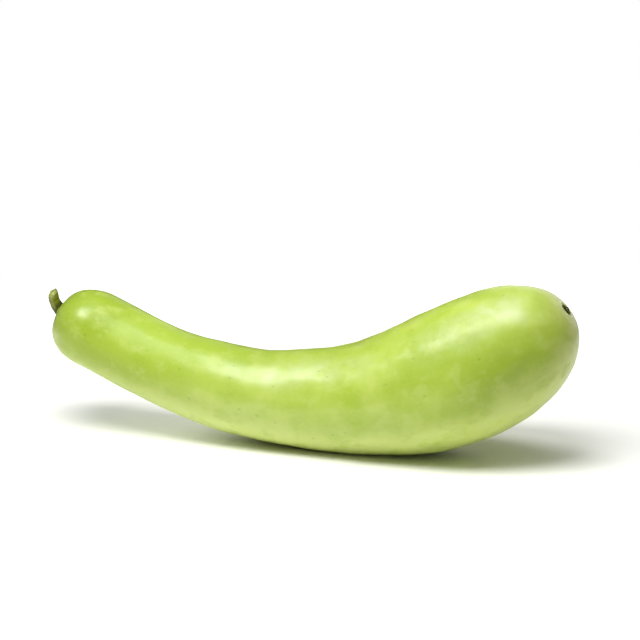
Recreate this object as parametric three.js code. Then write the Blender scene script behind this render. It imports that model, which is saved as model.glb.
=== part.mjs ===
// Bottle gourd: a long, pale green fruit, bowed so that both of its ends lift, slim at the stem end and
// stout towards the blossom end, with its cut stem and the dry scar that the flower left.
// Millimetres, +Z up. The fruit lies along X, stem end at -X, and rests on a small flat under its weight.
// The origin is the bottom centre of the whole object's box.

import * as THREE from 'three';
import { mergeVertices } from 'three/addons/utils/BufferGeometryUtils.js';

// ---------------------------------------------------------------- driving dimensions (mm, degrees)

// The fruit's axis, from the stem seat to the blossom scar. Guide values stand at even steps along it.
const axisLength = 400;
const climbGuides = [-26, -23, -13, 2.5, 14.5, 33.5, 41];
const sideTurn = 5;
const bowLean = 3;

// Half thickness of the fruit, before its two ends are rounded off.
const girthGuides = [28.5, 28, 29, 32, 35.5, 42.5, 51.5, 57, 58.5];
const stemDome = { length: 34, power: 2.4 };
const blossomDome = { length: 145, power: 2.3 };

// The fruit is a little out of round: waves round its section, each a share of its radius with so many
// lobes, turned by so many radians, and twisted on along the fruit. The shoulder's waves die away from
// the stem.
const oval = { share: 0.01, lobes: 2, turn: -0.9, twist: -2 };
const threeSided = { share: 0.006, lobes: 3, turn: 1.1, twist: 1.5 };
const shoulderLobes = { share: 0.02, lobes: 5, turn: 0, reach: 22 };

// The height of the small flat that the fruit rests on, above what would be its lowest point.
const flatDepth = 2.5;

// The shallow dimple round the blossom scar, and the scar itself, which sits a little to the front and
// whose outline is uneven.
const dimple = { depth: 1.2, width: 7, side: -3 };
const scar = { radius: 3.8, thickness: 1.3, edge: 0.8 };
const scarOval = { share: 0.07, lobes: 2, turn: 0 };
const scarThreeSided = { share: 0.07, lobes: 3, turn: 0.33 };

// The cut stem, a stout thumb of a stalk: the four points of its Bezier centre line from the seat
// (outwards along -X, and up), its half thickness, the angle by which each section faces up from the
// horizontal, and the angle by which it faces the front. Its last section is the slanting cut.
const stemLine = [[-0.2, 0.5], [4, 5.9], [3.5, 6.2], [4.8, 12.4]];
const stemGirthGuides = [4.8, 4.4, 4, 3.8, 4.1, 4.3];
const stemFacing = [26, 48, 81, 54];
const stemFacingFront = [0, 0, 8, 37];
const stemRidges = { share: 0.03, lobes: 5, turn: 0 };

// Clear space between pieces that touch.
const gap = 0.3;

// Facets: sides round each piece, and rings along each stretch of it. Crowding above 1 draws the rings
// towards the stretch's start.
const fruitSides = 48;
const stemDomeRings = { count: 9, crowding: 1 };
const trunkRings = 30;
const blossomDomeRings = { count: 22, crowding: 1.3 };
const stemSides = 30;
const stemRings = { count: 12, crowding: 1 };
const scarSides = 20;
const scarRings = 4;

// Steps in which the bent axis is worked out, and how close two points are that count as one.
const axisSteps = 800;
const samePoint = 1e-4;

// ---------------------------------------------------------------- formulas

const radians = THREE.MathUtils.degToRad;
const bell = (distance, width) => Math.exp(-((distance / width) ** 2));

// Even steps from 0 to 1, drawn towards 0 where crowding is above 1.
function steps({ count, crowding }) {
  return Array.from({ length: count + 1 }, (_, k) => (k / count) ** crowding);
}

// A wave round a section: how much of the radius it adds at an angle, and at a share along the fruit.
function wave({ share, lobes, turn, twist = 0 }, angle, along = 0) {
  return share * Math.cos(lobes * (angle + turn + twist * along));
}

// A smooth curve led by guide values at even steps: a uniform cubic B-spline that starts on the first
// value and ends on the last.
function ledBy(guides, share) {
  const last = guides.length - 1;
  const padded = [2 * guides[0] - guides[1], ...guides, 2 * guides[last] - guides[last - 1]];
  const place = THREE.MathUtils.clamp(share, 0, 1) * last;
  const i = Math.min(Math.floor(place), last - 1);
  const f = place - i;
  return (
    (1 - f) ** 3 * padded[i]
    + (3 * f ** 3 - 6 * f ** 2 + 4) * padded[i + 1]
    + (-3 * f ** 3 + 3 * f ** 2 + 3 * f + 1) * padded[i + 2]
    + f ** 3 * padded[i + 3]
  ) / 6;
}

// The share of the full girth that a rounded end has, at a distance in from its tip: a superellipse.
function roundedEnd(distance, dome) {
  const left = Math.max(1 - distance / dome.length, 0);
  return (1 - left ** dome.power) ** (1 / dome.power);
}

// Distances in from a dome's tip that go round its curve from the tip to the full girth.
function domeStations(dome, rings) {
  return steps(rings).map((share) => dome.length * (1 - Math.cos(share * Math.PI / 2) ** (2 / dome.power)));
}

// ---------------------------------------------------------------- the fruit

// The three directions of the axis at a share of its length: along it, up from it and to its side.
function axisDirections(share) {
  const climb = radians(ledBy(climbGuides, share));
  const turn = radians(sideTurn * (share - 0.5));
  const side = new THREE.Vector3(-Math.sin(turn), Math.cos(turn), 0);
  const along = new THREE.Vector3(
    Math.cos(climb) * Math.cos(turn),
    Math.cos(climb) * Math.sin(turn),
    Math.sin(climb),
  );
  return { along, side, up: along.clone().cross(side) };
}

// Points on the axis at even steps, each found from the one before and the direction between them.
const axisPoints = [new THREE.Vector3()];
for (let step = 0; step < axisSteps; step += 1) {
  const { along } = axisDirections((step + 0.5) / axisSteps);
  axisPoints.push(axisPoints[step].clone().addScaledVector(along, axisLength / axisSteps));
}

// The axis at a distance from the stem seat. Past its ends it goes straight on.
function fruitAxis(distance) {
  const place = (distance / axisLength) * axisSteps;
  const i = THREE.MathUtils.clamp(Math.floor(place), 0, axisSteps - 1);
  const centre = axisPoints[i].clone().lerp(axisPoints[i + 1], place - i);
  return { centre, ...axisDirections(distance / axisLength) };
}

// The point at a distance along a line, so far up from it and so far to its side.
function beside(line, distance, up, side) {
  const spot = line(distance);
  return spot.centre.clone().addScaledVector(spot.up, up).addScaledVector(spot.side, side);
}

// The fruit's radius at a distance along its axis, and how far out of round it is at an angle from up.
function fruitRadius(distance) {
  return ledBy(girthGuides, distance / axisLength)
    * roundedEnd(distance, stemDome)
    * roundedEnd(axisLength - distance, blossomDome);
}

function outOfRound(distance, angle) {
  const share = distance / axisLength;
  return 1
    + wave(oval, angle, share)
    + wave(threeSided, angle, share)
    + bell(distance, shoulderLobes.reach) * wave(shoulderLobes, angle);
}

// How far the dimple draws the blossom end in, at a place up from the axis and to its side.
const dimpleDepth = (up, side) => dimple.depth * bell(Math.hypot(up, side - dimple.side), dimple.width);

// How far along the axis the skin of the blossom end lies, at a place up from the axis and to its side.
function blossomSkin(up, side) {
  const girth = girthGuides[girthGuides.length - 1];
  const share = (Math.hypot(up, side) / girth) ** blossomDome.power;
  const fromTip = blossomDome.length * (1 - (1 - share) ** (1 / blossomDome.power));
  return axisLength - fromTip - dimpleDepth(up, side);
}

// The straight profile of the fruit, radius against distance, which the axis then bends.
function fruitProfile() {
  const trunkStart = stemDome.length;
  const trunkEnd = axisLength - blossomDome.length;
  const trunk = Array.from(
    { length: trunkRings - 1 },
    (_, k) => THREE.MathUtils.lerp(trunkStart, trunkEnd, (k + 1) / trunkRings),
  );
  const distances = [
    ...domeStations(stemDome, stemDomeRings),
    ...trunk,
    ...domeStations(blossomDome, blossomDomeRings).map((fromTip) => axisLength - fromTip).reverse(),
  ];
  return distances.map((distance) => new THREE.Vector2(fruitRadius(distance), distance));
}

// Where the point goes that the straight fruit has at x up and z to the side.
function placeOnFruit(x, distance, z) {
  const swell = outOfRound(distance, Math.atan2(z, x));
  const drawnIn = distance > axisLength / 2 ? dimpleDepth(x * swell, z * swell) : 0;
  return beside(fruitAxis, distance - drawnIn, x * swell, z * swell);
}

// Turns a profile of radius against height on a lathe, and puts each point where place says.
function reshapedLathe(profile, sides, place) {
  const lathe = new THREE.LatheGeometry(profile, sides);
  lathe.deleteAttribute('normal');
  lathe.deleteAttribute('uv');
  const geometry = mergeVertices(lathe, samePoint);
  const position = geometry.attributes.position;
  for (let i = 0; i < position.count; i += 1) {
    const point = place(position.getX(i), position.getY(i), position.getZ(i));
    position.setXYZ(i, point.x, point.y, point.z);
  }
  return geometry.applyMatrix4(new THREE.Matrix4().makeRotationX(-radians(bowLean)));
}

// Flattens what lies lower than the resting flat, and gives the flat's height.
function pressFlat(geometry) {
  geometry.computeBoundingBox();
  const height = geometry.boundingBox.min.z + flatDepth;
  const position = geometry.attributes.position;
  for (let i = 0; i < position.count; i += 1) {
    position.setZ(i, Math.max(position.getZ(i), height));
  }
  return height;
}

// ---------------------------------------------------------------- the stem

// The stem's line, which starts clear of the seat, and its sections, which turn from the seat's
// direction to the cut's. Places on it are shares of the line.
const seat = fruitAxis(0);
const stemRoot = seat.centre.clone().addScaledVector(seat.along, -gap);
const stemCurve = new THREE.CubicBezierCurve3(
  ...stemLine.map(([outwards, height]) => new THREE.Vector3(-outwards, 0, height).add(stemRoot)),
);

function stemAxis(share) {
  const facing = radians(ledBy(stemFacing, share));
  const front = radians(ledBy(stemFacingFront, share));
  const along = new THREE.Vector3(
    -Math.cos(facing) * Math.cos(front),
    -Math.sin(front),
    Math.sin(facing) * Math.cos(front),
  );
  const up = along.clone().cross(seat.side).normalize();
  return { centre: stemCurve.getPoint(share), up, side: up.clone().cross(along) };
}

// The stem's radius against the share of its line.
function stemProfile() {
  const rings = steps(stemRings).map((share) => new THREE.Vector2(ledBy(stemGirthGuides, share), share));
  return [new THREE.Vector2(0, 0), ...rings, new THREE.Vector2(0, 1)];
}

function placeOnStem(x, share, z) {
  const swell = 1 + wave(stemRidges, Math.atan2(z, x));
  return beside(stemAxis, share, x * swell, z * swell);
}

// ---------------------------------------------------------------- the blossom scar

// A low dry button: its profile is a height above the skin, which its underside follows, clear of it.
function scarProfile() {
  const radii = Array.from({ length: scarRings + 1 }, (_, k) => (scar.radius * k) / scarRings);
  const under = radii.map((radius) => new THREE.Vector2(radius, gap));
  const over = radii.map((radius) => {
    const height = THREE.MathUtils.lerp(scar.thickness, scar.edge, (radius / scar.radius) ** 2);
    return new THREE.Vector2(radius, gap + height);
  });
  return [...under, ...over.reverse()];
}

function placeOnScar(x, height, z) {
  const angle = Math.atan2(z, x);
  const swell = 1 + wave(scarOval, angle) + wave(scarThreeSided, angle);
  const [up, side] = [x * swell, z * swell + dimple.side];
  return beside(fruitAxis, blossomSkin(up, side) + height, up, side);
}

// ---------------------------------------------------------------- assembly

function finish(color, roughness) {
  return new THREE.MeshStandardMaterial({ color, roughness, metalness: 0 });
}

function piece(name, geometry, material) {
  const mesh = new THREE.Mesh(geometry, material);
  mesh.name = name;
  return mesh;
}

const fruit = reshapedLathe(fruitProfile(), fruitSides, placeOnFruit);
const stem = reshapedLathe(stemProfile(), stemSides, placeOnStem);
const blossomScar = reshapedLathe(scarProfile(), scarSides, placeOnScar);
const floor = pressFlat(fruit);

const gourd = new THREE.Group();
gourd.add(piece('gourd_body', fruit, finish(0xa9c455, 0.38)));
gourd.add(piece('stem', stem, finish(0x6f7a2c, 0.7)));
gourd.add(piece('blossom_scar', blossomScar, finish(0x3d3119, 0.85)));

const middle = new THREE.Box3().setFromObject(gourd).getCenter(new THREE.Vector3());
gourd.position.set(-middle.x, -middle.y, -floor);

export default gourd;
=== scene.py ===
"""A whole bottle gourd in fine detail: its waxy skin, cut stem and dry blossom scar, dressed over the
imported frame. Metres, +Z up, the fruit along X with its stem end at -X.

Each is a numpy grid surface that repeats the frame's own shape formulas and adds what is finer: the
skin's swells and dents, its collar round the stem, its lip and creases round the scar, the stem's
knobs, grooves and hollow cut, and the cork of the scar."""

import math
from collections import namedtuple

import bpy
import numpy as np
from bpy.props import FloatProperty, FloatVectorProperty, PointerProperty
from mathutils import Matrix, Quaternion, Vector


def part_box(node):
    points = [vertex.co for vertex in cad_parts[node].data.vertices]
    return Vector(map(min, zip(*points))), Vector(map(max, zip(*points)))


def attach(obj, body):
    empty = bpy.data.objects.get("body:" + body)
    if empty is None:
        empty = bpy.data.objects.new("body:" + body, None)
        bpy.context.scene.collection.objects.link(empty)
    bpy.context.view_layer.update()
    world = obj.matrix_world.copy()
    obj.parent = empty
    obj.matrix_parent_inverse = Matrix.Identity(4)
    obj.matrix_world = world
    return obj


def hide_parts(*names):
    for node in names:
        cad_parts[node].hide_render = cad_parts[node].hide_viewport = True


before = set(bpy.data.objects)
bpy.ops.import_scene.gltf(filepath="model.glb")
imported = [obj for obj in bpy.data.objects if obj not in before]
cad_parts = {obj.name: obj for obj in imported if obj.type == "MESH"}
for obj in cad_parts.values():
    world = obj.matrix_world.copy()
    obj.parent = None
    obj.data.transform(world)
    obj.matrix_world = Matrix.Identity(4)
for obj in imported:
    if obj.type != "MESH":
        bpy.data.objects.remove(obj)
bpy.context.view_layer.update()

bl_info = {
    "name": "Bottle Gourd",
    "version": (1, 0, 0),
    "blender": (4, 5, 0),
    "location": "View3D > Sidebar > Gourd",
    "description": "A fresh bottle gourd with its stem, its blossom scar and a studio round it",
    "category": "Add Mesh",
}

# ---------- kinds of form

Dome = namedtuple("Dome", "length power")
Dimple = namedtuple("Dimple", "depth width side")
Lobes = namedtuple("Lobes", "share count turn twist", defaults=(0, 0))
Hoop = namedtuple("Hoop", "radius width share", defaults=(1,))
Waves = namedtuple("Waves", "length seed squeeze", defaults=((1, 1, 1),))

# ---------- driving dimensions (metres, degrees)

# The fruit's axis and half thickness, as guide values at even steps from the stem to the blossom end.
AXIS_LENGTH = 0.4
CLIMB_GUIDES = (-26, -23, -13, 2.5, 14.5, 33.5, 41)
SIDE_TURN = 5
BOW_LEAN = 3
GIRTH_GUIDES = (0.0285, 0.028, 0.029, 0.032, 0.0355, 0.0425, 0.0515, 0.057, 0.0585)
STEM_DOME = Dome(length=0.034, power=2.4)
BLOSSOM_DOME = Dome(length=0.145, power=2.3)

# Lobes round the section: share of the radius, how many, turn and twist in radians.
OVAL = Lobes(0.01, 2, turn=-0.9, twist=-2)
THREE_SIDED = Lobes(0.006, 3, turn=1.1, twist=1.5)
SHOULDER_LOBES = Lobes(0.02, 5)
SHOULDER_REACH = 0.022

FLAT_DEPTH = 0.0025
DIMPLE = Dimple(depth=0.0012, width=0.007, side=-0.003)

# Irregular waves of the skin, by the setting that gives their height: usual length, seed of their
# directions, and the squeeze up, along and to the side, where less than one draws them out.
SKIN_WAVES = {
    "undulation": Waves(0.055, seed=3),
    "dents": Waves(0.021, seed=12),
    "cross_waves": Waves(0.008, seed=5, squeeze=(0.45, 1, 0.45)),
    "grooves": Waves(0.011, seed=8, squeeze=(1, 0.12, 1)),
}
WAVES_IN_SUM = 28
WAVE_LENGTHS = (0.75, 1.4)

# The distances in from each tip between which the skin's waves grow to their height.
STEM_END_GROWTH = (0.004, 0.03)
SCAR_END_GROWTH = (0.001, 0.02)

# Hoops of relief round the stem and the scar: radius, width and share of the set height.
COLLAR = Hoop(0.0056, width=0.0016)
COLLAR_TROUGH = Hoop(0.0105, width=0.004, share=0.9)
COLLAR_LOBES = Lobes(0.6, 5)
SCAR_LIP = Hoop(0.0066, width=0.0009)
SCAR_LIP_TROUGH = Hoop(0.0045, width=0.001, share=0.5)
SCAR_LIP_LOBES = Lobes(0.3, 3, turn=0.2)
SCAR_CREASES = Hoop(0.0076, width=0.003)
SCAR_CREASE_COUNTS = (9, 14)

# The stem's Bezier centre line from the seat (outwards, and up), its half thickness, and which way its
# sections face: up, and to the front. The frame's stem stands a gap off the fruit.
STEM_LINE = ((-0.0002, 0.0005), (0.004, 0.0059), (0.0035, 0.0062), (0.0048, 0.0124))
STEM_GIRTH_GUIDES = (0.0048, 0.0044, 0.004, 0.0038, 0.0041, 0.0043)
STEM_FACING = (26, 48, 81, 54)
STEM_FACING_FRONT = (0, 0, 8, 37)
STEM_RIDGES = Lobes(0.03, 5)
STEM_GAP = 0.0003

# The stem's foot: how far up it the toes of the ridges, the sinking in and the smooth part go.
TOE_REACH = 0.0016
TOE_LOBES = Lobes(0.4, 3, turn=1 / 3)
SINK_REACH = 0.0008
SMOOTH_REACH = 0.002

# The stem's irregular waves, in stem radii.
STEM_RADIUS = 0.004
STEM_GROOVES = Waves(0.55, seed=21, squeeze=(1, 0.16, 1))
STEM_KNOBS = Waves(1.1, seed=22)
CUT_FIBRES = Waves(0.5, seed=23, squeeze=(1, 0, 1))

# The stem's brim, by shares of its length, and the hoops of its cut, by shares of its radius.
BRIM_START = 0.93
BRIM_DRAWN_IN = 0.04
RAGGED_START = 0.9
CUT_RIM = Hoop(0.86, width=0.1, share=0.5)
CUT_EDGE = Hoop(1, width=0.05, share=0.2)
PITH_PIT = Hoop(0, width=0.22, share=0.7)
CUT_BOWL = 0.8
OUTER_FLANK_TURN = 0.5

# The scar's outline, and its cork by shares of its radius: irregular waves with their heights, the
# ring, the nub, the floor between them, and where the edge runs out and how far it tucks in.
SCAR_RADIUS = 0.0038
SCAR_OVAL = Lobes(0.07, 2)
SCAR_THREE_SIDED = Lobes(0.07, 3, turn=0.33)
OUTLINE_WAVES = Waves(0.42, seed=31)
CORK_RING_WAVES = (Waves(0.8, seed=32), 0.5)
CORK_LUMPS = (Waves(0.24, seed=33), 0.14)
CORK_GRAIN = (Waves(0.1, seed=34), 0.06)
CORK_RING = Hoop(0.7, width=0.17, share=0.62)
CORK_NUB = Hoop(0, width=0.24, share=0.85)
CORK_FLOOR = 0.28
CORK_EDGE = (0.84, 1)
EDGE_TUCK = 0.0002

# Grid sizes: steps round each piece, rings along it, and how rings crowd towards the fruit's tips and
# the stem's foot.
FRUIT_AROUND = 256
FRUIT_RINGS = {"stem": 60, "trunk": 168, "scar": 136}
TIP_CROWDING = 1.3
AXIS_STEPS = 800
STEM_AROUND = 180
STEM_RINGS = 110
STEM_CROWDING = 1.25
STEM_LENGTH_MARKS = 60
CUT_RINGS = 40
SCAR_AROUND = 144
SCAR_RINGS = 56
SCAR_UNDER_RINGS = 7
FLOOR_SIDES = 96

# Where the skin's colours change, from one distance to another: along the fruit from its stem end, and
# out from the stem or the scar.
# The deeper green at the neck is painted shade.
SHADED_NECK = (0.32, 0.14)
# The paler ground side is partly the ground spot and partly painted floor light.
GROUND_AND_BOUNCE_START = (0.11, 0.18)
# The deeper green on top is painted shade.
SHADED_TOP_END = (0.3, 0.2)
STEM_HALO = (0.006, 0.018)
SCAR_HALO = (0.008, 0.034)
SCAR_FRECKLES = (0.009, 0.024)
SCAR_SHADE = (0.005, 0.0062)
SCAR_RIM_RADIUS = 0.0067
SCAR_RIM_WIDTH = (0.0002, 0.0008)

# Patches of the skin: the place on the straight fruit (up, along, to the side) with about half of the
# stray's reach added each way, the reach each way, how strong the patch is and, for some, its colour.
STRAY_REACH = 0.024
COLOUR_SHADE_AND_LIGHT_PATCHES = (
    ((0.03, 0.045, 0.01), (0.03, 0.035, 0.035), 0.7, "skin_dark"),
    ((0.01, 0.045, 0), (0.05, 0.06, 0.06), 0.4, "skin_dark"),
    ((0.002, 0.358, -0.044), (0.036, 0.06, 0.05), 0.8, "skin_dark"),
    # Paler low on the middle: partly pale skin, partly painted floor light.
    ((-0.01, 0.16, -0.03), (0.05, 0.11, 0.05), 0.6, "skin_pale"),
    ((-0.045, 0.25, -0.02), (0.04, 0.12, 0.04), 0.9, "skin_pale"),
    # Painted shade under the stem end's bulb.
    ((-0.022, 0.025, -0.016), (0.03, 0.045, 0.04), 0.8, "skin_deep"),
    # Painted shade on the stem end's bulb, beside its highlight.
    ((0.028, 0.051, -0.011), (0.018, 0.016, 0.02), 0.8, "skin_dark"),
    ((-0.03, 0.335, -0.02), (0.04, 0.08, 0.05), 0.35, "skin_mid"),
    ((0.036, 0.335, -0.03), (0.034, 0.075, 0.034), 0.9, "skin_deep"),
)
# Pale chalky bloom laid along the highlight bands, so partly a painted highlight.
BLOOM_AND_HIGHLIGHT_PATCHES = (
    ((0.043, 0.336, -0.023), (0.022, 0.045, 0.022), 0.32),
    ((0.041, 0.376, -0.016), (0.022, 0.036, 0.022), 0.6),
    ((0.038, 0.192, -0.013), (0.02, 0.06, 0.02), 0.4),
    ((0.041, 0.245, -0.013), (0.018, 0.05, 0.018), 0.3),
)
WAX_PATCHES = (
    ((0.019, 0.175, -0.028), (0.04, 0.08, 0.04), 0.2),
    ((0.025, 0.092, -0.016), (0.04, 0.085, 0.04), -0.8),
    ((0.036, 0.211, -0.015), (0.024, 0.026, 0.024), -0.35),
    ((0.035, 0.178, -0.012), (0.02, 0.022, 0.022), -0.2),
    ((0.048, 0.338, -0.022), (0.035, 0.045, 0.035), -0.5),
    ((0.04, 0.373, -0.019), (0.02, 0.026, 0.02), -0.3),
    ((0.028, 0.031, -0.009), (0.018, 0.016, 0.018), 0.5),
    ((0.002, 0.352, -0.038), (0.045, 0.1, 0.045), -0.4),
    ((0.026, 0.047, -0.013), (0.025, 0.016, 0.025), -0.6),
    ((-0.01, 0.392, -0.01), (0.05, 0.04, 0.04), -0.5),
    ((-0.014, 0.03, -0.024), (0.05, 0.07, 0.05), -0.6),
    ((-0.035, 0.075, -0.015), (0.04, 0.08, 0.04), -0.6),
)

WHITE = (1, 1, 1)

# ---------- shape formulas


def joined(*parts):
    """Arrays of one shape as one array of vectors, one number from each."""
    return np.stack(parts, axis=-1)


def round_grid(rows, around):
    """A grid of the rows' values and of even angles once round."""
    return np.meshgrid(rows, np.linspace(0, 2 * math.pi, around, endpoint=False), indexing="ij")


def bell(distance, width):
    """One at no distance, falling away smoothly: e to the minus square of distance over width."""
    return np.exp(-((distance / width) ** 2))


def hoop(out, form):
    """The form's share on a circle of its radius, falling away as a bell of its width."""
    return form.share * bell(out - form.radius, form.width)


def smooth_step(value, low, high):
    """Zero below low, one above high, and 3 t squared minus 2 t cubed in between."""
    t = np.clip((value - low) / (high - low), 0, 1)
    return t * t * (3 - 2 * t)


def wave(form, angle, along=0):
    """A wave round a section: share times the cosine of count times the turned, twisted angle."""
    return form.share * np.cos(form.count * (angle + form.turn + form.twist * along))


def led_by(guides, share):
    """A uniform cubic B-spline led by guide values at even steps, from the first value to the last."""
    guides = np.asarray(guides, float)
    first, last = 2 * guides[0] - guides[1], 2 * guides[-1] - guides[-2]
    padded = np.concatenate(([first], guides, [last]))
    place = np.clip(share, 0, 1) * (len(guides) - 1)
    i = np.minimum(np.floor(place).astype(int), len(guides) - 2)
    f = place - i
    weights = ((1 - f) ** 3, 3 * f**3 - 6 * f**2 + 4, -3 * f**3 + 3 * f**2 + 3 * f + 1, f**3)
    return sum(weight * padded[i + k] for k, weight in enumerate(weights)) / 6


def rounded_end(distance, dome):
    """The share of full girth at a distance in from a dome's tip: a superellipse."""
    left = np.clip(1 - distance / dome.length, 0, 1)
    return (1 - left**dome.power) ** (1 / dome.power)


def dome_stations(dome, rings):
    """Distances in from a dome's tip, at places in a quarter turn that crowd towards it: the length
    times one less the place's cosine to the power of two over the dome's own."""
    quarter_turn = (np.arange(1, rings + 1) / rings) ** TIP_CROWDING * math.pi / 2
    return dome.length * (1 - np.cos(quarter_turn) ** (2 / dome.power))


def ripples(points, waves, height):
    """Irregular relief: a sum of plane waves of about one length, in random directions and phases,
    over squeezed points. Its usual height is the given one."""
    random = np.random.default_rng(waves.seed)
    directions = random.normal(size=(WAVES_IN_SUM, 3))
    directions /= np.linalg.norm(directions, axis=1, keepdims=True)
    lengths = waves.length * random.uniform(*WAVE_LENGTHS, (WAVES_IN_SUM, 1))
    phases = random.uniform(0, 2 * math.pi, WAVES_IN_SUM)
    crests = np.cos((points * waves.squeeze) @ (directions * (2 * math.pi / lengths)).T + phases)
    return height * crests.sum(axis=-1) * math.sqrt(2 / WAVES_IN_SUM)


# ---------- the bowed fruit


def axis_directions(share):
    """The axis's directions at shares of its length: along it, up from it and to its side."""
    climb = np.radians(led_by(CLIMB_GUIDES, share))
    turn = np.radians(SIDE_TURN * (np.asarray(share) - 0.5))
    side = joined(-np.sin(turn), np.cos(turn), 0 * turn)
    along = joined(np.cos(climb) * np.cos(turn), np.cos(climb) * np.sin(turn), np.sin(climb))
    return along, np.cross(along, side), side


def axis_points():
    """Points on the axis at even steps: the running sum of its direction times the step."""
    along = axis_directions((np.arange(AXIS_STEPS) + 0.5) / AXIS_STEPS)[0]
    steps = along * AXIS_LENGTH / AXIS_STEPS
    return np.concatenate((np.zeros((1, 3)), np.cumsum(steps, axis=0)))


AXIS_POINTS = axis_points()


def beside_fruit_axis(distance, up, side):
    """The point at a distance along the axis, so far up from it and so far to its side. Past its
    ends the axis goes straight on."""
    within = np.clip(distance, 0, AXIS_LENGTH)
    marks = np.linspace(0, AXIS_LENGTH, AXIS_STEPS + 1)
    centre = joined(*(np.interp(within, marks, places) for places in AXIS_POINTS.T))
    along, up_way, side_way = axis_directions(distance / AXIS_LENGTH)
    beyond = (distance - within)[..., None]
    return centre + along * beyond + up_way * up[..., None] + side_way * side[..., None]


def fruit_radius(distance):
    """Half thickness at a distance along the axis: the led girth times both rounded ends."""
    girth = led_by(GIRTH_GUIDES, distance / AXIS_LENGTH)
    return girth * rounded_end(distance, STEM_DOME) * rounded_end(AXIS_LENGTH - distance, BLOSSOM_DOME)


def out_of_round(distance, angle):
    """The section's radius as a share of the round one: one plus three waves round it."""
    share = distance / AXIS_LENGTH
    shoulder = bell(distance, SHOULDER_REACH) * wave(SHOULDER_LOBES, angle)
    return 1 + wave(OVAL, angle, share) + wave(THREE_SIDED, angle, share) + shoulder


def dimple_depth(up, side):
    """How far the dimple draws the blossom end in: a bell round its middle."""
    return DIMPLE.depth * bell(np.hypot(up, side - DIMPLE.side), DIMPLE.width)


def blossom_skin(up, side):
    """How far along the axis the blossom end's skin lies: the dome's superellipse, less the dimple."""
    share = (np.hypot(up, side) / GIRTH_GUIDES[-1]) ** BLOSSOM_DOME.power
    from_tip = BLOSSOM_DOME.length * (1 - (1 - share) ** (1 / BLOSSOM_DOME.power))
    return AXIS_LENGTH - from_tip - dimple_depth(up, side)


def leaned(points):
    """Points turned about X by the lean of the bow."""
    lean = math.radians(-BOW_LEAN)
    sine, cosine = math.sin(lean), math.cos(lean)
    turn = np.array(((1, 0, 0), (0, cosine, -sine), (0, sine, cosine)))
    return points @ turn.T


def straight_grid():
    """The fruit before it is bowed, as a grid of rings from the stem end to the blossom end: the
    distance along, and the places up and to the side. Radius against distance, turned on a lathe
    and made a little out of round."""
    stem_end = dome_stations(STEM_DOME, FRUIT_RINGS["stem"])[:-1]
    trunk = np.linspace(STEM_DOME.length, AXIS_LENGTH - BLOSSOM_DOME.length, FRUIT_RINGS["trunk"])
    scar_end = AXIS_LENGTH - dome_stations(BLOSSOM_DOME, FRUIT_RINGS["scar"])[-2::-1]
    distance, angle = round_grid(np.concatenate((stem_end, trunk, scar_end)), FRUIT_AROUND)
    radius = fruit_radius(distance) * out_of_round(distance, angle)
    return distance, radius * np.cos(angle), radius * np.sin(angle)


def bowed(distance, up, side):
    """Where places of the straight fruit go: the dimple is drawn in, and the axis bends them."""
    drawn_in = np.where(distance > AXIS_LENGTH / 2, dimple_depth(up, side), 0)
    return leaned(beside_fruit_axis(distance - drawn_in, up, side))


def fruit_shift(points):
    """What brings the bowed fruit into the frame: the middle of its box over that of the frame's
    fruit, and its flat on the floor."""
    low, high = points.min(axis=(0, 1)), points.max(axis=(0, 1))
    frame_low, frame_high = np.array(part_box("gourd_body"))
    shift = (frame_low + frame_high - low - high) / 2
    shift[2] = frame_low[2] - (low[2] + FLAT_DEPTH)
    return shift


FRAME_SHIFT = fruit_shift(bowed(*straight_grid()))


def grid_normals(rings):
    """The outward normals of a grid of rings: along the rings crossed with round them."""
    along = np.gradient(rings, axis=0)
    around = np.roll(rings, -1, axis=1) - np.roll(rings, 1, axis=1)
    normals = np.cross(along, around)
    return normals / np.linalg.norm(normals, axis=-1, keepdims=True)


def skin_relief(settings, distance, up, side):
    """Height of the skin's fine relief over the plain fruit. Irregular waves of the straight fruit
    fade out at both ends. Round the stem a lobed collar rises inside a trough, and round the scar a
    lobed lip rises outside one. Creases run out from the scar: two waves round it of uneven pace."""
    straight = joined(up, distance, side)
    body = smooth_step(distance, *STEM_END_GROWTH) * smooth_step(AXIS_LENGTH - distance, *SCAR_END_GROWTH)
    relief = sum(ripples(straight, waves, getattr(settings, name)) for name, waves in SKIN_WAVES.items())
    relief *= body
    by_stem = np.where(distance < AXIS_LENGTH / 2, 1.0, 0.0)
    radius, angle = np.hypot(up, side), np.arctan2(side, up)
    collar = hoop(radius, COLLAR) * (1 + wave(COLLAR_LOBES, angle)) - hoop(radius, COLLAR_TROUGH)
    relief += by_stem * settings.collar * collar
    radius, angle = np.hypot(up, side - DIMPLE.side), np.arctan2(side - DIMPLE.side, up)
    lip = hoop(radius, SCAR_LIP) * (1 + wave(SCAR_LIP_LOBES, angle)) - hoop(radius, SCAR_LIP_TROUGH)
    few, many = SCAR_CREASE_COUNTS
    creases = np.cos(few * angle + 2 * np.cos(angle)) + 0.7 * np.cos(many * angle + 3 * np.sin(2 * angle))
    creases *= hoop(radius, SCAR_CREASES)
    return relief + (1 - by_stem) * (settings.scar_lip * lip + settings.scar_creases * creases)


def pressed(points, softness):
    """Points kept over the floor, with a soft turn at the flat's edge: a height becomes the turn's size
    times the logarithm of one plus e to the height over that size."""
    height = points[..., 2] / softness
    points[..., 2] = softness * np.logaddexp(height, 0)
    return points


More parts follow.
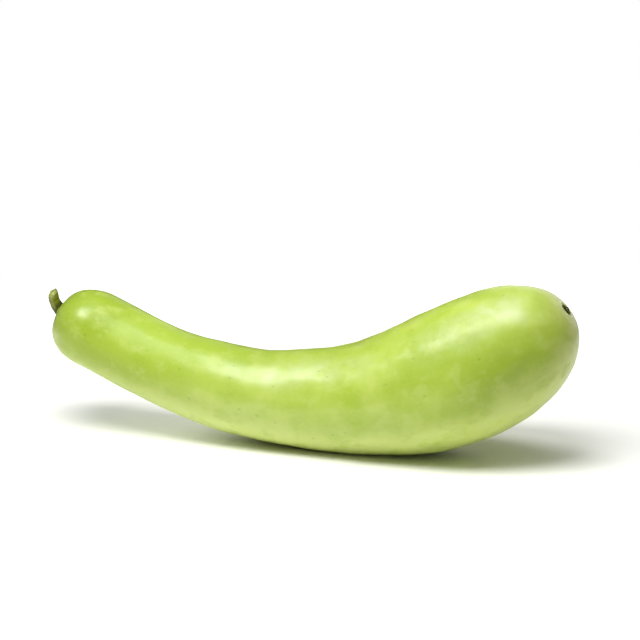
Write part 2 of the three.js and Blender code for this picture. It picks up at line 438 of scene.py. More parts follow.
def fruit_surface(settings):
    """The fruit's rings of points, its two poles, and where each ring point is on the straight fruit."""
    distance, up, side = straight_grid()
    plain = bowed(distance, up, side)
    rings = plain + grid_normals(plain) * skin_relief(settings, distance, up, side)[..., None]
    tips = np.array((0.0, AXIS_LENGTH))
    poles = bowed(tips, np.zeros(2), np.zeros(2))
    rings = pressed(rings + FRAME_SHIFT, settings.flat_softness)
    return rings, poles + FRAME_SHIFT, joined(up, distance, side)


# ---------- stem and scar


def bezier(points, share):
    """A cubic Bezier curve: the sum of its four points, each times its Bernstein weight."""
    share = share[..., None]
    left = 1 - share
    weights = (left**3, 3 * left**2 * share, 3 * left * share**2, share**3)
    return sum(weight * np.array(point) for weight, point in zip(weights, points))


def stem_sections(share):
    """The stem's centres, on its Bezier line, and its sections' directions up, to the side and along,
    at shares of its length. Splines lead the angles that the sections face."""
    fruit_along, _, fruit_side = axis_directions(0.0)
    line = bezier(STEM_LINE, share)
    root = AXIS_POINTS[0] - fruit_along * STEM_GAP
    centre = root + joined(-line[:, 0], 0 * share, line[:, 1])
    facing = np.radians(led_by(STEM_FACING, share))
    front = np.radians(led_by(STEM_FACING_FRONT, share))
    along = joined(-np.cos(facing) * np.cos(front), -np.sin(front), np.sin(facing) * np.cos(front))
    up = np.cross(along, fruit_side)
    up /= np.linalg.norm(up, axis=-1, keepdims=True)
    return centre, np.stack((up, np.cross(up, along), along), axis=1)


def stem_surface(settings):
    """The stem's rings, its two poles, and for each ring point how far it is up the stem, how far out
    on the cut, and how far round to the stem's outer flank. The radius is the led one, with five faint
    ridges whose toes spread on the fruit, irregular knobs and lengthwise grooves. The last rings close
    over the slanting cut, which is a ragged bowl with a raised rim and a pit in its pith."""
    trunk = np.linspace(0, 1, STEM_RINGS) ** STEM_CROWDING
    inward = np.linspace(0, 1, CUT_RINGS + 1)[1:-1]
    share = np.concatenate((trunk, np.ones(len(inward))))
    cut = np.concatenate((np.zeros(STEM_RINGS), inward))
    centre, ways = stem_sections(share)
    marks_along = stem_sections(np.linspace(0, 1, STEM_LENGTH_MARKS))[0]
    stem_length = np.linalg.norm(np.diff(marks_along, axis=0), axis=1).sum()

    share, angle = round_grid(share, STEM_AROUND)
    cut = cut[:, None] + 0 * angle
    distance = share * stem_length
    twisted = angle + settings.stem_twist * share
    ridge = np.cos(STEM_RIDGES.count * twisted)
    toes = settings.stem_toes * bell(distance, TOE_REACH) * (ridge + wave(TOE_LOBES, angle))
    radius = led_by(STEM_GIRTH_GUIDES, share) * (1 + STEM_RIDGES.share * ridge) + toes
    around = joined(np.cos(twisted), distance / STEM_RADIUS, np.sin(twisted))
    radius += ripples(around, STEM_GROOVES, settings.stem_grooves)
    around = joined(np.cos(angle), distance / STEM_RADIUS, np.sin(angle))
    radius += ripples(around, STEM_KNOBS, settings.stem_knobs) * smooth_step(distance, 0, SMOOTH_REACH)
    radius *= 1 - BRIM_DRAWN_IN * smooth_step(share, BRIM_START, 1)

    out = 1 - cut
    face = hoop(out, CUT_RIM) - hoop(out, CUT_EDGE) - hoop(out, PITH_PIT) - CUT_BOWL * (1 - out**2)
    ragged = ripples(around * out[..., None], CUT_FIBRES, settings.cut_raggedness)
    on_brim = ragged * smooth_step(share, RAGGED_START, 1)
    lift = np.where(cut > 0, settings.cut_hollow * face + ragged, on_brim)
    lift -= settings.stem_sink * bell(distance, SINK_REACH)
    radius *= out
    rings = centre[:, None] + joined(radius * np.cos(angle), radius * np.sin(angle), lift) @ ways
    tips = np.stack((centre[0] - ways[0, 2] * settings.stem_sink, rings[-1].mean(axis=0)))
    outer = 0.5 + 0.5 * np.cos(angle + OUTER_FLANK_TURN) + 0.06 * ridge
    return leaned(rings) + FRAME_SHIFT, leaned(tips) + FRAME_SHIFT, joined(share, out, outer)


def scar_surface(settings):
    """The scar's rings, its two poles, and how far out each ring point is, three times over. It is a
    low corky button: an uneven outline, a raised ragged ring, a hollow inside it and a small nub in
    the middle. Its underside is sunk in the skin."""
    under = np.linspace(0, 1, SCAR_UNDER_RINGS + 1)[1:]
    over = np.linspace(1, 0, SCAR_RINGS + 1)[:-1]
    out, angle = round_grid(np.concatenate((under, over)), SCAR_AROUND)
    is_over = np.arange(len(out))[:, None] >= SCAR_UNDER_RINGS
    spread = joined(out * np.cos(angle), out * np.sin(angle), 0 * out)
    swell = 1 + wave(SCAR_OVAL, angle) + wave(SCAR_THREE_SIDED, angle)
    edge = 1 + settings.scar_raggedness * ripples(spread, OUTLINE_WAVES, 1)
    radius = SCAR_RADIUS * out * swell * edge
    ring = hoop(out, CORK_RING) * (1 + ripples(spread, *CORK_RING_WAVES))
    cork = ripples(spread, *CORK_LUMPS) + ripples(spread, *CORK_GRAIN)
    run_out = smooth_step(out, *CORK_EDGE)
    top = settings.scar_height * (CORK_FLOOR + ring + hoop(out, CORK_NUB) + cork) * (1 - run_out)
    height = np.where(is_over, top - EDGE_TUCK * run_out, -settings.scar_sink)
    up = radius * np.cos(angle)
    side = radius * np.sin(angle) + DIMPLE.side
    rings = leaned(beside_fruit_axis(blossom_skin(up, side) + height, up, side)) + FRAME_SHIFT
    tips = np.stack((rings[0].mean(axis=0), rings[-1].mean(axis=0)))
    return rings, tips, joined(out, out, out)


# ---------- meshes


def with_poles(poles, grid):
    """A grid's threes in one list, with one pole's before them and the other's after."""
    return np.concatenate((poles[:1], grid.reshape(-1, 3), poles[1:]))


def closed_mesh(name, rings, poles, marks, mark_name):
    """A closed mesh from a grid of rings between two poles. Marks are three numbers for each ring
    point, kept as an attribute for the materials."""
    rows, around = rings.shape[:2]
    here = 1 + np.arange(rows * around).reshape(rows, around)
    onward = np.roll(here, -1, axis=1)
    quads = joined(here[:-1], here[1:], onward[1:], onward[:-1]).reshape(-1, 4)
    first = joined(here[0], onward[0], 0 * here[0])
    last = joined(onward[-1], here[-1], 0 * here[0] + rows * around + 1)
    mesh = bpy.data.meshes.new(name)
    mesh.from_pydata(with_poles(poles, rings), [], [*quads.tolist(), *first.tolist(), *last.tolist()])
    attribute = mesh.attributes.new(mark_name, "FLOAT_VECTOR", "POINT")
    flat_marks = with_poles(marks[[0, -1]].mean(axis=1), marks)
    attribute.data.foreach_set("vector", flat_marks.astype(np.float32).ravel())
    mesh.shade_smooth()
    return mesh


def placed(name, data):
    """A new object with this data, in the scene."""
    made = bpy.data.objects.new(name, data)
    bpy.context.scene.collection.objects.link(made)
    return made


def add_piece(name, surface, mark_name, material, node):
    """Puts a surface into the scene as a piece that rides on the body and stands for its frame node."""
    mesh = closed_mesh(name, *surface, mark_name)
    mesh.materials.append(material)
    piece = placed(name, mesh)
    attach(piece, "root")
    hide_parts(node)


# ---------- materials


def both_ways(operation):
    """A Math operation as a shade's operator and as its reflected form."""
    return (
        lambda shade, other: shade.math(operation, shade, other),
        lambda shade, other: shade.math(operation, other, shade),
    )


class Shade:
    """A socket of a tree's nodes. Sums on it add Math nodes."""

    def __init__(self, paint, socket):
        self.paint = paint
        self.socket = socket

    def math(self, operation, *values):
        return self.paint.node("ShaderNodeMath", {"operation": operation}, dict(enumerate(values)))

    __add__, __radd__ = both_ways("ADD")
    __sub__, __rsub__ = both_ways("SUBTRACT")
    __mul__, __rmul__ = both_ways("MULTIPLY")
    __truediv__, __rtruediv__ = both_ways("DIVIDE")

    def __abs__(self):
        return self.math("ABSOLUTE", self)

    def within(self, low, high):
        """No less than the low limit and no more than the high one."""
        return self.math("MINIMUM", self.math("MAXIMUM", self, low), high)


class Paint:
    """The nodes of a material, or of the room."""

    def __init__(self, painted):
        self.painted = painted
        painted.use_nodes = True
        self.tree = painted.node_tree
        self.tree.nodes.clear()

    def node(self, kind, settings=None, inputs=None, output=0):
        """Adds a node, with its settings first and then its sockets, and gives an output if it has any."""
        made = self.tree.nodes.new(kind)
        for name, value in (settings or {}).items():
            setattr(made, name, value)
        for key, value in (inputs or {}).items():
            if isinstance(value, Shade):
                self.tree.links.new(value.socket, made.inputs[key])
            else:
                made.inputs[key].default_value = value
        return Shade(self, made.outputs[output]) if len(made.outputs) else None

    def object_place(self):
        """Where the point is, in metres from the frame's origin."""
        return self.node("ShaderNodeTexCoord", output="Object")

    def mark(self, name):
        """A vector that the mesh keeps for each of its points."""
        return self.node("ShaderNodeAttribute", {"attribute_name": name}, output="Vector")

    def parts(self, vector):
        """The three numbers of a vector."""
        split = self.node("ShaderNodeSeparateXYZ", inputs={0: vector})
        return [Shade(self, socket) for socket in split.socket.node.outputs]

    def vectors(self, operation, *values, output="Vector"):
        """A Vector Math node on these vectors."""
        return self.node("ShaderNodeVectorMath", {"operation": operation}, dict(enumerate(values)), output)

    def stretched(self, vector, scale):
        """A vector times another, number by number."""
        return self.vectors("MULTIPLY", vector, scale)

    def size(self, vector):
        """The length of a vector."""
        return self.vectors("LENGTH", vector, output="Value")

    def noise(self, vector, scale, detail=2.0, roughness=0.5, output="Fac"):
        """Soft noise from 0 to 1, so many to the metre."""
        inputs = {"Vector": vector, "Scale": scale, "Detail": detail, "Roughness": roughness}
        return self.node("ShaderNodeTexNoise", {}, inputs, output)

    def strayed(self, vector, scale, reach):
        """A place moved on by soft noise, by up to the reach each way and usually half of it."""
        return self.vectors("MULTIPLY_ADD", self.noise(vector, scale, output="Color"), (reach,) * 3, vector)

    def patch(self, vector, centre, reach, share):
        """The share at a place, falling away to nothing at its reach in each direction."""
        away = self.stretched(self.vectors("SUBTRACT", vector, centre), tuple(1 / each for each in reach))
        return (1 - self.between(self.size(away), 0.1, 1)) * share

    def cells(self, vector, scale):
        """The distance to the nearest of scattered points, in cells, so many to the metre."""
        return self.node("ShaderNodeTexVoronoi", {"feature": "F1"}, {"Vector": vector, "Scale": scale})

    def between(self, value, low, high, at_low=0.0, at_high=1.0):
        """A smooth step from one value to another as value goes from low to high."""
        inputs = {0: value, 1: low, 2: high, 3: at_low, 4: at_high}
        return self.node("ShaderNodeMapRange", {"interpolation_type": "SMOOTHSTEP"}, inputs)

    def mixed(self, share, first, second):
        """Two colours mixed by a share. Each is a socket or three numbers."""
        first, second = (each if isinstance(each, Shade) else (*each, 1.0) for each in (first, second))
        inputs = {"Factor": share, 6: first, 7: second}
        return self.node("ShaderNodeMix", {"data_type": "RGBA"}, inputs, output=2)

    def layered(self, base, settings, layers):
        """A colour with others laid over it in turn, each by a share and the name of its setting."""
        for share, tone in layers:
            base = self.mixed(share, base, getattr(settings, tone))
        return base

    def bump(self, height, distance, strength, below=None):
        """A normal bent by a height in units of distance, over another bump if one is given."""
        inputs = {"Height": height, "Distance": distance, "Strength": strength}
        if below is not None:
            inputs["Normal"] = below
        return self.node("ShaderNodeBump", inputs=inputs)

    def finish(self, inputs):
        """Ends the material in a Principled shader with these sockets."""
        shader = self.node("ShaderNodeBsdfPrincipled", inputs=inputs)
        self.node("ShaderNodeOutputMaterial", inputs={"Surface": shader})
        return self.painted


def broad_layers(paint, place, straight, strayed):
    """The skin's large tones: painted shade that makes it greener at the neck and on top, a paler side
    below that is partly the ground spot and partly painted floor light, and large patches, among
    them painted shade and painted floor light."""
    up, distance, _ = paint.parts(straight)
    level = up / paint.size(paint.stretched(straight, (1, 0, 1)))
    broad = paint.between(paint.noise(place, 20), 0.35, 0.65)
    # Painted shade: deeper green towards the stem end.
    neck_shade = paint.between(distance, *SHADED_NECK)
    uneven = 0.5 * (paint.noise(place, 38, detail=3) - 0.5)
    # Paler below: partly the ground spot, partly painted light bounced up from the floor.
    ground = paint.between(level + uneven, -0.1, -0.7)
    beneath = paint.between(level + 0.6 * uneven, -0.3, -0.85)
    # Painted shade: deeper green on top, towards the stem end.
    top = paint.between(level + uneven, 0.62, 1.02)
    return [
        ((broad * 0.6 + neck_shade * 0.4).within(0, 1), "skin_deep"),
        (ground * 0.7, "skin_pale"),
        (beneath * paint.between(distance, *GROUND_AND_BOUNCE_START) * 0.9, "skin_ground_and_bounce"),
        (top * paint.between(distance, *SHADED_TOP_END) * 0.8, "skin_deep"),
        *((paint.patch(strayed, *patch), tone) for *patch, tone in COLOUR_SHADE_AND_LIGHT_PATCHES),
    ]


def fine_layers(paint, place, straight, strayed):
    """The skin's small marks: soft blotches, a chalky bloom along the highlight bands that is partly a
    painted highlight, faint lengthwise streaks, fine mottling, short dark specks and a few thin scuffs."""
    blotches = paint.noise(paint.stretched(straight, (1, 0.8, 1)), 80, detail=4, roughness=0.55)
    chalk = paint.between(paint.noise(place, 75, detail=3), 0.4, 0.58, at_low=0.35)
    streaks = paint.noise(paint.stretched(straight, (1, 0.07, 1)), 150, detail=3)
    mottle = paint.between(paint.noise(place, 420, detail=3, roughness=0.6), 0.42, 0.68)
    specks = 1 - paint.between(paint.cells(paint.stretched(straight, (1, 0.45, 1)), 150), 0.05, 0.12)
    some = paint.between(paint.noise(place, 40, detail=1), 0.46, 0.56)
    lines = 1 - paint.between(abs(paint.noise(strayed, 26, detail=1) - 0.5), 0.002, 0.008)
    few = paint.between(paint.noise(place, 30, detail=1), 0.58, 0.68)
    return [
        (paint.between(blotches, 0.5, 0.68) * 0.4, "skin_pale"),
        (paint.between(blotches, 0.5, 0.34) * 0.45, "skin_deep"),
        # Chalky bloom on the highlight bands: partly a painted highlight.
        *((paint.patch(strayed, *patch) * chalk, "skin_bloom_and_highlight") for patch in BLOOM_AND_HIGHLIGHT_PATCHES),
        (paint.between(streaks, 0.45, 0.75) * 0.12, "skin_pale"),
        (mottle * 0.1, "skin_pale"),
        (specks * some * 0.38, "speck"),
        (lines * few * 0.12, "scuff"),
    ]


def end_layers(paint, place, straight):
    """The skin at its ends: paler round the stem, and tan, freckled and rimmed round the scar, where the
    pale rim is partly a painted highlight on its front, lower side.
    """
    up, _, side = paint.parts(straight)
    from_stem = paint.size(paint.stretched(straight, (1, 0.6, 1)))
    halo = 1 - paint.between(from_stem + paint.noise(place, 120) * 0.004, *STEM_HALO)
    to_scar = paint.vectors("DISTANCE", straight, (0, AXIS_LENGTH, DIMPLE.side), output="Value")
    tan = 1 - paint.between(to_scar + paint.noise(place, 150) * 0.008, *SCAR_HALO)
    freckles = 1 - paint.between(paint.cells(place, 330), 0.1, 0.26)
    near_scar = 1 - paint.between(to_scar, *SCAR_FRECKLES)
    to_rim = to_scar + 0.0024 * (paint.noise(place, 230) - 0.5)
    inside = 1 - paint.between(to_rim, *SCAR_SHADE)
    rim = 1 - paint.between(abs(to_rim - SCAR_RIM_RADIUS), *SCAR_RIM_WIDTH)
    dry = paint.between(paint.noise(place, 320), 0.38, 0.58, 0.05, 0.6)
    # Painted highlight: the rim is paler on its front, lower side.
    fresh = paint.between(side + 0.5 * up, DIMPLE.side + 0.003, DIMPLE.side - 0.004, at_high=0.5)
    return [
        (halo * 0.6, "stem_halo"),
        (tan * 0.7, "scar_halo"),
        (freckles * near_scar * 0.6, "freckle"),
        (inside * 0.85, "scar_shade"),
        (rim * (dry + fresh).within(0, 0.8), "scar_rim"),
    ]


def skin_material(settings):
    """Waxy green skin: large tones, small marks and both ends over its usual colour, in uneven wax.
    Some of these tones are painted shade and painted light.
    """
    paint = Paint(bpy.data.materials.new("gourd_skin"))
    place = paint.object_place()
    straight = paint.mark("straight")
    strayed = paint.strayed(straight, 45, STRAY_REACH)
    layers = broad_layers(paint, place, straight, strayed)
    layers += fine_layers(paint, place, straight, strayed) + end_layers(paint, place, straight)

    rough = settings.skin_roughness + 0.16 * (paint.noise(place, 70, detail=4) - 0.5)
    wax = paint.noise(paint.stretched(straight, (1, 0.6, 1)), 85, detail=4)
    wax = settings.skin_wax * paint.between(wax, 0.28, 0.68, at_low=0.6)
    for patch in WAX_PATCHES:
        wax += paint.patch(strayed, *patch)
    normal = paint.bump(paint.noise(place, 900, roughness=0.6), 0.0006, 0.05)
    normal = paint.bump(paint.noise(place, 180, detail=3), 0.002, 0.08, below=normal)
    return paint.finish(
        {
            "Base Color": paint.layered(settings.skin_mid, settings, layers),
            "Roughness": rough,
            "Normal": normal,
            "IOR": 1.33,
            "Coat Weight": wax.within(0, 1),
            "Coat Roughness": 0.3,
            "Coat IOR": 1.5,
            "Subsurface Weight": settings.skin_glow,
            "Subsurface Radius": (0.8, 1.0, 0.3),
            "Subsurface Scale": 0.004,
        }
    )


def stem_material(settings):
    """Olive stalk tissue: deep green, with grey-green bloom on the outer flank that is partly a painted
    reflection of the floor, brown blotches, painted shade that makes the foot and inner flank
    near-black, and a paler green, fibrous cut with a pale pith."""
    paint = Paint(bpy.data.materials.new("gourd_stem"))
    place = paint.object_place()
    share, out, outer = paint.parts(paint.mark("marks"))
    uneven = 0.4 * (paint.noise(place, 500, detail=3) - 0.5)
    blotches = paint.between(paint.noise(place, 900, detail=3), 0.48, 0.7)
    # Painted shade: near-black at the foot, reaching higher on the inner flank.
    low = 1 - paint.between(share + uneven * 0.5 + outer * 0.3, 0.14, 0.64)
    layers = (
        # Grey-green bloom on the outer flank, partly a painted reflection of the floor.
        (paint.between(outer + uneven, 0.45, 0.9), "stem_bloom_and_reflection"),
        (blotches * 0.4, "stem_brown"),
        (low * 0.9, "stem_foot_shade"),
    )
    flank = paint.layered(settings.stem_green, settings, layers)
    fibres = paint.between(paint.cells(place, 1500), 0.1, 0.5)
    pith = 1 - paint.between(out, 0.15, 0.6)
    layers = ((fibres * 0.6 + 0.2, "cut_light"), (pith * 0.8, "cut_pith"))
    cut = paint.layered(settings.cut_dark, settings, layers)
    base = paint.mixed(paint.between(out, 0.99, 0.9), flank, cut)
    normal = paint.bump(paint.noise(place, 2500, detail=3), 0.0004, 0.25)
    return paint.finish({"Base Color": base, "Roughness": 0.7, "Normal": normal, "IOR": 1.2})


def scar_material(settings):
    """Dry dark cork, with olive crumbs, a pale grey-green nub and a paler, uneven edge."""
    paint = Paint(bpy.data.materials.new("gourd_scar"))
    place = paint.object_place()
    out = paint.parts(paint.mark("marks"))[0]
    crumbs = paint.between(paint.noise(place, 900, detail=4, roughness=0.65), 0.5, 0.62)
    nub = 1 - paint.between(out + 0.5 * (paint.noise(place, 700) - 0.5), 0.2, 0.42)
    edge = paint.between(out + 0.3 * (paint.noise(place, 1100) - 0.5), 0.88, 1.02)
    layers = ((crumbs * 0.8, "scar_brown"), (nub * 0.9, "scar_pale"), (edge * 0.7, "scar_edge"))
    base = paint.layered(settings.scar_dark, settings, layers)
    normal = paint.bump(paint.noise(place, 3000, detail=4), 0.0004, 0.4)
    return paint.finish({"Base Color": base, "Roughness": 0.85, "Normal": normal, "IOR": 1.25})


def floor_material(settings):
    """A plain pale matte floor. It gives light of its own, which grows beyond the fruit's shadow and
    again farther out, up to plain white, so that its rim doesn't show."""
    paint = Paint(bpy.data.materials.new("studio_floor"))
    away = paint.vectors("SUBTRACT", paint.object_place(), settings.glow_middle)
    ringwise = paint.size(paint.stretched(away, (1, settings.glow_shape, 1)))
    near = paint.between(ringwise, settings.ring_start, settings.ring_full)
    far = paint.between(paint.size(away), settings.far_start, settings.far_full)
    glow = near * settings.ring_glow + far * (1 - settings.ring_glow)
    return paint.finish(
        {
            "Base Color": (*settings.floor_colour, 1.0),
            "Roughness": 0.9,
            "IOR": 1.3,
            "Emission Color": paint.mixed(glow, settings.floor_glow, WHITE),
            "Emission Strength": 1.0,
        }
    )


# ---------- settings


def property_kind(kind, lead="", **shared):
    """What makes properties of one kind, each from its name, default and description after the lead."""

    def made(name, default, description):
        return kind(name=name, default=default, description=lead + description, **shared)

    return made


number = property_kind(FloatProperty)
share_of = property_kind(FloatProperty, subtype="FACTOR", min=0, max=1)
length = property_kind(FloatProperty, unit="LENGTH", precision=5)
power = property_kind(FloatProperty, unit="POWER")
angle_of = property_kind(FloatProperty, subtype="ANGLE")
place_of = property_kind(FloatVectorProperty, subtype="XYZ", unit="LENGTH", precision=5)
tint = property_kind(FloatVectorProperty, "Colour of ", subtype="COLOR", size=3, min=0, max=1)


class GourdFruitSettings(bpy.types.PropertyGroup):
    """The fruit's relief and the colours of its skin."""

    undulation: length("Undulation", 0.00038, "Height of the broad swells of the skin")
    dents: length("Dents", 0.00013, "Height of the shallow dents, two centimetres apart")
    cross_waves: length("Cross waves", 0.000025, "Height of the short swells along the fruit")
    grooves: length("Grooves", 0.00004, "Height of the faint lengthwise grooves")
    collar: length("Collar", 0.0003, "Height of the collar of skin round the stem")
    scar_lip: length("Scar lip", 0.0004, "Height of the lip of skin round the blossom scar")
    scar_creases: length("Scar creases", 0.00004, "Depth of the creases that run out from the scar")
    flat_softness: length("Flat softness", 0.0003, "Size of the soft turn at the edge of the resting flat")
    skin_mid: tint("Skin", (0.475, 0.61, 0.09), "the skin in most places")
    skin_deep: tint("Deep skin", (0.36, 0.5, 0.045), "the greener patches")
    skin_dark: tint("Dark skin", (0.29, 0.41, 0.018), "the large dark patches")
    skin_pale: tint("Pale skin", (0.55, 0.65, 0.17), "the pale flecks and streaks")
    # Partly a painted highlight: the bloom lies along the highlight bands.
    skin_bloom_and_highlight: tint("Bloom", (0.585, 0.665, 0.355), "the chalky bloom")
    # Partly the ground spot, partly painted floor light on the underside.
    skin_ground_and_bounce: tint("Ground side", (0.66, 0.74, 0.23), "the skin that lay on the ground")
    speck: tint("Specks", (0.15, 0.2, 0.025), "the short dark specks")
    scuff: tint("Scuffs", (0.62, 0.66, 0.3), "the thin scuffs")
    stem_halo: tint("Stem halo", (0.53, 0.61, 0.14), "the skin round the stem")
    scar_halo: tint("Scar halo", (0.58, 0.61, 0.17), "the skin round the blossom scar")
    # Partly a painted highlight on the lip's front, lower side.
    scar_rim: tint("Scar rim", (0.8, 0.85, 0.34), "the lip of skin round the blossom scar")
    scar_shade: tint("Scar shade", (0.25, 0.28, 0.09), "the skin between the lip and the scar")
    freckle: tint("Freckles", (0.33, 0.3, 0.07), "the freckles round the blossom scar")
    skin_roughness: share_of("Roughness", 0.4, "How rough the skin is under its wax")
    skin_wax: share_of("Wax", 0.8, "How much the smooth wax on the skin shines")
    skin_glow: share_of("Glow", 0.15, "How much light comes back out from under the skin")


class GourdStemSettings(bpy.types.PropertyGroup):
    """The stem's relief and colours."""

    stem_twist: angle_of("Twist", 0.15, "Turn of the ridges")
    stem_toes: length("Toes", 0.0003, "How far the ridges spread on the fruit")
    stem_grooves: length("Grooves", 0.00006, "Height of the fine lengthwise grooves")
    stem_knobs: length("Knobs", 0.0001, "Height of the uneven knobs")
    stem_sink: length("Sink", 0.0012, "How deep the stem's foot is sunk in the skin")
    cut_hollow: length("Cut hollow", 0.0003, "Depth of the hollow of the cut")
    cut_raggedness: length("Cut raggedness", 0.00012, "Height of the ragged fibres of the cut")
    stem_green: tint("Green", (0.13, 0.155, 0.003), "the flank towards the fruit")
    # Partly a painted reflection of the floor on the outer flank.
    stem_bloom_and_reflection: tint("Bloom", (0.26, 0.28, 0.09), "the outer flank")
    stem_brown: tint("Blotches", (0.13, 0.12, 0.025), "the brown blotches")
    # Painted shade at the foot, next to the fruit.
    stem_foot_shade: tint("Foot", (0.022, 0.028, 0.002), "the stem next to the fruit")
    cut_light: tint("Cut", (0.36, 0.4, 0.12), "the flesh on the cut")
    cut_dark: tint("Cut fibres", (0.17, 0.2, 0.04), "the fibres on the cut")
    cut_pith: tint("Pith", (0.56, 0.61, 0.2), "the pith in the middle of the cut")


class GourdScarSettings(bpy.types.PropertyGroup):
    """The blossom scar's relief and colours."""

    scar_height: length("Height", 0.001, "Height of the raised ring over the skin")
    scar_sink: length("Sink", 0.0008, "How deep the scar's underside is sunk in the skin")
    scar_raggedness: share_of("Raggedness", 0.09, "Unevenness of the outline, as a share of its radius")
    scar_dark: tint("Cork", (0.024, 0.024, 0.003), "the dark cork")
    scar_brown: tint("Crumbs", (0.12, 0.12, 0.035), "the olive crumbs")
    scar_pale: tint("Nub", (0.42, 0.45, 0.24), "the nub in the middle")
    scar_edge: tint("Edge", (0.26, 0.27, 0.09), "the thin edge that runs out on the skin")


class GourdStageSettings(bpy.types.PropertyGroup):
    """The studio: the floor, the lights and the camera."""

    floor_size: length("Floor size", 1.0, "Width of the round floor")
    floor_middle: place_of("Floor middle", (0, 0.12, 0), "Middle of the round floor")
    floor_colour: tint("Floor", (0.9, 0.9, 0.86), "the floor")
    floor_glow: tint("Floor glow", (0, 0, 0), "the floor's light near the fruit")
    glow_middle: place_of("Glow middle", (0.07, 0, 0), "Point round which the floor's light grows")
    ring_glow: share_of("Ring glow", 0.31, "The floor's light just beyond the fruit's shadow")
    ring_start: length("Ring start", 0.1, "Distance along X where the floor's light starts to grow")
    ring_full: length("Ring full", 0.18, "Distance along X where it is the ring's light")
    far_start: length("Far start", 0.22, "Distance where it starts to grow again")
    far_full: length("Far full", 0.45, "Distance where it is plain white")
    glow_shape: number("Glow shape", 2.8, "How many times nearer the ring is along Y")
    key_power: power("Key light", 0.7, "Power of the softbox")
    key_place: place_of("Key place", (0.08, -0.1, 0.44), "Where the softbox hangs")
    light_target: place_of("Light target", (0, 0, 0.05), "Point that the softboxes face")
    key_length: length("Key length", 0.72, "Length of the softbox, along the fruit")
    key_width: length("Key width", 0.45, "Width of the softbox")
    sheen_power: power("Sheen light", 4.55, "Power of the narrow softbox")
    sheen_place: place_of("Sheen place", (-0.07, -0.235, 0.62), "Where the narrow softbox hangs")
    sheen_turn: angle_of("Sheen turn", math.radians(26), "Turn of the narrow softbox")
    sheen_length: length("Sheen length", 0.62, "Length of the narrow softbox")
    sheen_width: length("Sheen width", 0.29, "Width of the narrow softbox")
    card_power: power("Card light", 2.6, "Power of the card behind")
    card_place: place_of("Card place", (0.38, 0.86, 0.36), "Middle of the card behind")
    card_length: length("Card length", 1.2, "Length of the card behind")
    card_width: length("Card width", 0.8, "Width of the card behind, upwards")
    room_glow: number("Room", 0.08, "Light that the room gives")
    camera_distance: length("Camera distance", 1.45, "From the camera to the point that it looks at")
    camera_azimuth: angle_of("Azimuth", math.radians(13), "Turn of the camera towards +X")
    camera_elevation: angle_of("Elevation", math.radians(15), "Angle of the camera above level")
    camera_target: place_of("Target", (0.00812, 0.01256, 0.08916), "Point that the camera looks at")
    camera_lens: number("Lens", 114.2, "Focal length in millimetres")


# ---------- operators


class GOURD_OT_fruit(bpy.types.Operator):
    """Makes the fruit with its skin"""

    bl_idname = "gourd.make_fruit"
    bl_label = "Fruit"

    def execute(self, context):
        settings = context.scene.gourd_fruit
        skin = skin_material(settings)
        add_piece("fruit_skin", fruit_surface(settings), "straight", skin, "gourd_body")
        return {"FINISHED"}


class GOURD_OT_stem(bpy.types.Operator):
    """Makes the cut stem"""

    bl_idname = "gourd.make_stem"
    bl_label = "Stem"

    def execute(self, context):
        settings = context.scene.gourd_stem
        add_piece("cut_stem", stem_surface(settings), "marks", stem_material(settings), "stem")
        return {"FINISHED"}


class GOURD_OT_scar(bpy.types.Operator):
    """Makes the dry blossom scar"""

    bl_idname = "gourd.make_scar"
    bl_label = "Blossom scar"

    def execute(self, context):
        settings = context.scene.gourd_scar
        cork = scar_material(settings)
        add_piece("corky_scar", scar_surface(settings), "marks", cork, "blossom_scar")
        return {"FINISHED"}


def make_floor(settings):
    """A flat round floor at the height that the fruit rests on."""
    turn = np.linspace(0, 2 * math.pi, FLOOR_SIDES, endpoint=False)
    rim = joined(np.cos(turn), np.sin(turn), 0 * turn) * settings.floor_size / 2
    rim += np.array(settings.floor_middle)
    mesh = bpy.data.meshes.new("studio_floor")
    mesh.from_pydata(rim, [], [range(FLOOR_SIDES)])
    mesh.materials.append(floor_material(settings))
    placed("studio_floor", mesh)


def hang_softbox(settings, name, shape, turn=0):
    """A softbox that hangs at its place, faces the target, is turned about that line and isn't seen
    by the camera. Its settings start with its name."""
    light = bpy.data.lights.new(name, "AREA")
    light.shape = shape
    light.size, light.size_y = (getattr(settings, f"{name}_{way}") for way in ("length", "width"))
    light.energy = getattr(settings, f"{name}_power")
    lamp = placed(name, light)
    lamp.location = getattr(settings, f"{name}_place")
    facing = (Vector(settings.light_target) - lamp.location).to_track_quat("-Z", "Y")
    lamp.rotation_euler = (facing @ Quaternion((0, 0, 1), turn)).to_euler()
    lamp.visible_camera = False


def make_lights(settings):
    """A wide softbox over the fruit, a narrow one that gives its sheen a bright core, a lit card
    behind that shines along its upper edge, and a dim room that looks white."""
    hang_softbox(settings, "key", "RECTANGLE")
    hang_softbox(settings, "sheen", "ELLIPSE", settings.sheen_turn)
    hang_softbox(settings, "card", "RECTANGLE")

    room = Paint(bpy.data.worlds.new("studio_room"))
    seen = room.node("ShaderNodeLightPath", output="Is Camera Ray")
    dim = room.node("ShaderNodeBackground", inputs={"Strength": settings.room_glow})
    backdrop = room.node("ShaderNodeBackground", inputs={"Color": (*WHITE, 1.0)})
    either = room.node("ShaderNodeMixShader", inputs={"Fac": seen, 1: dim, 2: backdrop})
    room.node("ShaderNodeOutputWorld", inputs={"Surface": either})
    bpy.context.scene.world = room.painted


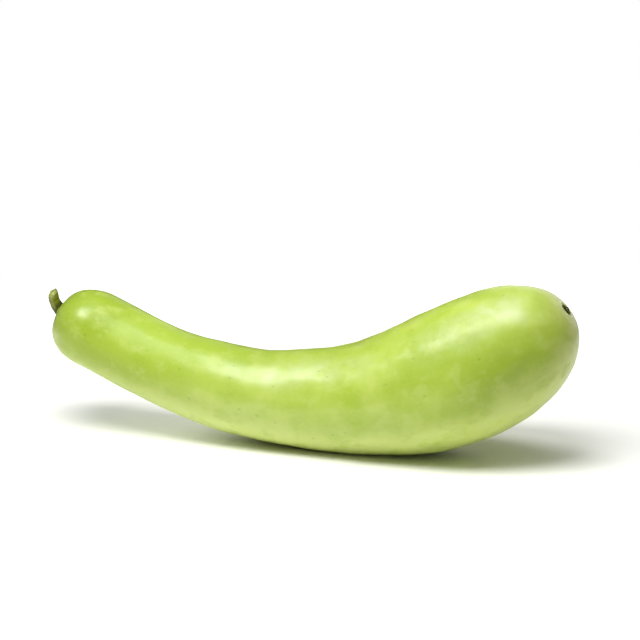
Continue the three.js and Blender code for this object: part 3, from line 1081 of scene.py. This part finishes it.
def make_camera(settings):
    """A camera that looks at its target from its distance, azimuth and elevation."""
    data = bpy.data.cameras.new("camera")
    data.lens = settings.camera_lens
    camera = placed("camera", data)
    camera.rotation_euler = (math.pi / 2 - settings.camera_elevation, 0, settings.camera_azimuth)
    back = camera.rotation_euler.to_matrix() @ Vector((0, 0, settings.camera_distance))
    camera.location = Vector(settings.camera_target) + back
    bpy.context.scene.camera = camera


class GOURD_OT_stage(bpy.types.Operator):
    """Makes the floor, the lights and the camera"""

    bl_idname = "gourd.make_stage"
    bl_label = "Stage"

    def execute(self, context):
        settings = context.scene.gourd_stage
        make_floor(settings)
        make_lights(settings)
        make_camera(settings)
        context.scene.view_settings.view_transform = "Standard"
        return {"FINISHED"}


class GOURD_PT_parts(bpy.types.Panel):
    """The gourd's parts and what can be set on them"""

    bl_idname = "GOURD_PT_parts"
    bl_label = "Bottle Gourd"
    bl_space_type = "VIEW_3D"
    bl_region_type = "UI"
    bl_category = "Gourd"

    def draw(self, context):
        for operator, group in zip(OPERATORS, GROUPS):
            box = self.layout.box()
            box.operator(operator.bl_idname)
            settings = getattr(context.scene, group)
            for name in settings.__annotations__:
                box.prop(settings, name)


GROUPS = {
    "gourd_fruit": GourdFruitSettings,
    "gourd_stem": GourdStemSettings,
    "gourd_scar": GourdScarSettings,
    "gourd_stage": GourdStageSettings,
}
OPERATORS = (GOURD_OT_fruit, GOURD_OT_stem, GOURD_OT_scar, GOURD_OT_stage)
CLASSES = (*GROUPS.values(), *OPERATORS, GOURD_PT_parts)


def register():
    for each in CLASSES:
        bpy.utils.register_class(each)
    for name, group in GROUPS.items():
        setattr(bpy.types.Scene, name, PointerProperty(type=group))


def unregister():
    for name in GROUPS:
        delattr(bpy.types.Scene, name)
    for each in reversed(CLASSES):
        bpy.utils.unregister_class(each)


def main():
    """Registers the classes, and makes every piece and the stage."""
    register()
    bpy.ops.gourd.make_fruit()
    bpy.ops.gourd.make_stem()
    bpy.ops.gourd.make_scar()
    bpy.ops.gourd.make_stage()


if __name__ == "__main__":
    main()
